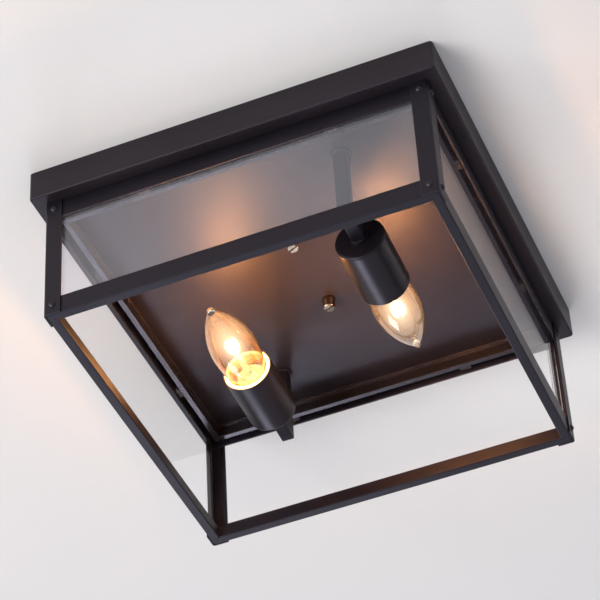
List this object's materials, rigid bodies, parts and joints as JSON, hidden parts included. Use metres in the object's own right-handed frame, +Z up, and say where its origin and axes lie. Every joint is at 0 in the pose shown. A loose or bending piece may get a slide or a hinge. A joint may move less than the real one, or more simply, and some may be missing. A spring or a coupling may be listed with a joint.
{
  "type": "porch ceiling lantern",
  "caption": "Flush square ceiling lantern: shallow metal pan, open-bottomed glazed cage on corner posts, and torpedo lamps in cylinder sockets on bent square arms.",
  "frame": {"origin": "centre of the pan's back, on the ceiling plane; the pan's rim and the strap's top face lie on it", "axes": "+Z up into the ceiling, the lantern hangs towards -Z; +X along the near side to the right, +Y from the near side to the far side"},
  "size_m": [0.3048, 0.3048, 0.1314],
  "materials": {
    "pan_paint": "satin black",
    "frame_paint": "satin black",
    "screw_black": "satin black",
    "rivet_black": "satin black",
    "zinc_steel": "zinc plated",
    "barrel_brass": "satin",
    "brass": "plain",
    "porcelain": "glazed",
    "pane_glass": "clear",
    "lamp_glass": "clear",
    "stem_glass": "clear",
    "cap_metal": "plain",
    "black_glass": "gloss",
    "solder": "plain",
    "filament_metal": "plain",
    "block_black": "matt",
    "ground_green": "satin"
  },
  "bodies": {
    "lantern": {"arm_collars": "frame_paint", "arm_nipples": "zinc_steel", "arm_nuts": "zinc_steel", "bottom_rail_far": "frame_paint", "bottom_rail_left": "frame_paint", "bottom_rail_near": "frame_paint", "bottom_rail_right": "frame_paint", "ceiling_pan": "pan_paint", "centre_contacts": "brass", "corner_post_far_left": "frame_paint", "corner_post_far_right": "frame_paint", "corner_post_near_left": "frame_paint", "corner_post_near_right": "frame_paint", "glass_pane_far": "pane_glass", "glass_pane_left": "pane_glass", "glass_pane_near": "pane_glass", "glass_pane_right": "pane_glass", "glass_stop_far": "frame_paint", "glass_stop_left": "frame_paint", "glass_stop_near": "frame_paint", "glass_stop_right": "frame_paint", "ground_screw": "ground_green", "lamp_arm_left": "frame_paint", "lamp_arm_right": "frame_paint", "lower_post_screws": "screw_black", "mounting_strap": "zinc_steel", "mounting_studs": "zinc_steel", "pan_rivets": "rivet_black", "screw_shells": "brass", "socket_cover_left": "frame_paint", "socket_cover_right": "frame_paint", "socket_hubs": "frame_paint", "socket_insulator_left": "porcelain", "socket_insulator_right": "porcelain", "socket_nipples": "zinc_steel", "stop_blocks": "block_black", "stud_lock_nuts": "zinc_steel", "top_rail_far": "frame_paint", "top_rail_left": "frame_paint", "top_rail_near": "frame_paint", "top_rail_right": "frame_paint", "upper_post_screws": "screw_black"},
    "lamp_tip_right": {"lamp_contact_right": "solder"},
    "lamp_right": {"lamp_glass_right": "lamp_glass", "lamp_cap_right": "cap_metal", "lamp_insulator_right": "black_glass", "lamp_stem_right": "stem_glass", "lamp_filament_right": "filament_metal"},
    "lamp_tip_left": {"lamp_contact_left": "solder"},
    "lamp_left": {"lamp_glass_left": "lamp_glass", "lamp_cap_left": "cap_metal", "lamp_insulator_left": "black_glass", "lamp_stem_left": "stem_glass", "lamp_filament_left": "filament_metal"},
    "washer_near": {"barrel_washer_near": "zinc_steel"},
    "nut_near": {"barrel_nut_near": "barrel_brass"},
    "washer_far": {"barrel_washer_far": "zinc_steel"},
    "nut_far": {"barrel_nut_far": "barrel_brass"}
  },
  "joints": [
    {"name": "lamp_travel_right", "type": "slide", "parent": "lantern", "child": "lamp_tip_right", "axis": [-0.0209, 0.9998, 0], "range_m": [0, 0.0218]},
    {"name": "lamp_turn_right", "type": "hinge", "parent": "lamp_tip_right", "child": "lamp_right", "pos_m": [0.06177, -0.02102, -0.0812], "axis": [-0.0209, 0.9998, 0], "range_deg": [0, 2160]},
    {"name": "lamp_travel_left", "type": "slide", "parent": "lantern", "child": "lamp_tip_left", "axis": [0.0209, -0.9998, 0], "range_m": [0, 0.0218]},
    {"name": "lamp_turn_left", "type": "hinge", "parent": "lamp_tip_left", "child": "lamp_left", "pos_m": [-0.06177, 0.02102, -0.0812], "axis": [0.0209, -0.9998, 0], "range_deg": [0, 2160]},
    {"name": "nut_travel_near", "type": "slide", "parent": "lantern", "child": "washer_near", "axis": [0, 0, -1], "range_m": [0, 0.00476]},
    {"name": "nut_turn_near", "type": "hinge", "parent": "washer_near", "child": "nut_near", "pos_m": [0, -0.0351, -0.0264], "axis": [0, 0, -1], "range_deg": [0, 2160]},
    {"name": "nut_travel_far", "type": "slide", "parent": "lantern", "child": "washer_far", "axis": [0, 0, -1], "range_m": [0, 0.00476]},
    {"name": "nut_turn_far", "type": "hinge", "parent": "washer_far", "child": "nut_far", "pos_m": [0, 0.0351, -0.0264], "axis": [0, 0, -1], "range_deg": [0, 2160]}
  ],
  "couplings": [
    {"joint": "lamp_travel_right", "follows": "lamp_turn_right", "m_per_rad": 0.00057773},
    {"joint": "lamp_travel_left", "follows": "lamp_turn_left", "m_per_rad": 0.00057773},
    {"joint": "nut_turn_near", "follows": "nut_travel_near", "rad_per_m": 7915.8},
    {"joint": "nut_turn_far", "follows": "nut_travel_far", "rad_per_m": 7915.8}
  ]
}
